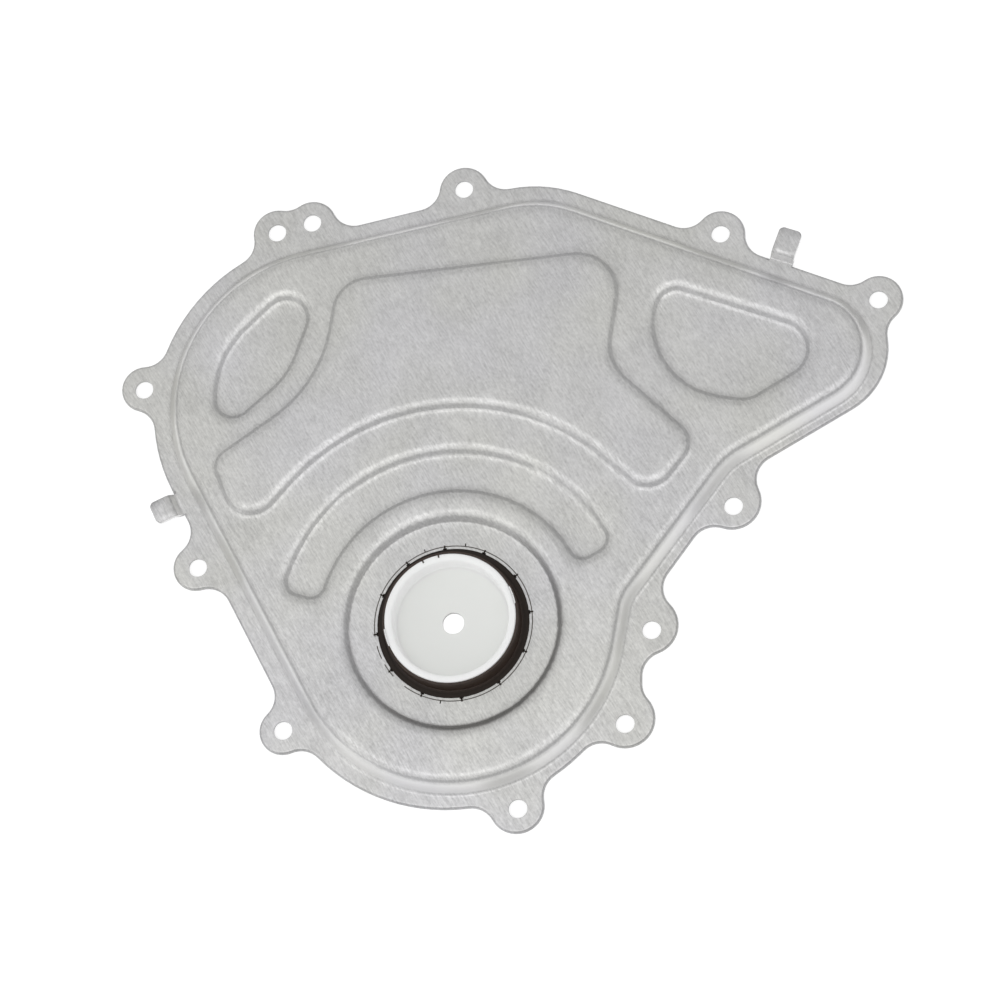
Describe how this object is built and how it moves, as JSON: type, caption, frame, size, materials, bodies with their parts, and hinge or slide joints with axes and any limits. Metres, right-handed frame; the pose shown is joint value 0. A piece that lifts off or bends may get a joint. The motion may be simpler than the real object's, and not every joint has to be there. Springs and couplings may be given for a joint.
{
  "type": "front crankshaft flange",
  "caption": "Pressed sheet-metal engine end cover with stiffening beads, bolt lugs and small joggled tabs, carrying a moulded crankshaft seal and its plastic assembly sleeve.",
  "frame": {"origin": "on the crankshaft axis, in the plane of the sealing face that meets the engine block", "axes": "+Z points away from the engine along the crankshaft axis, +X to the right and +Y up as the cover is seen from outside"},
  "size_m": [0.2965, 0.2587, 0.014],
  "materials": {
    "sheet_metal": "satin, fine diagonal rolling grain",
    "seal_rubber": "matte",
    "lip_compound": "satin",
    "sleeve_plastic": "smooth moulded"
  },
  "bodies": {
    "root": {"cover_plate": "sheet_metal", "seal_body": "seal_rubber", "sealing_lip": "lip_compound", "assembly_sleeve": "sleeve_plastic"}
  },
  "joints": []
}
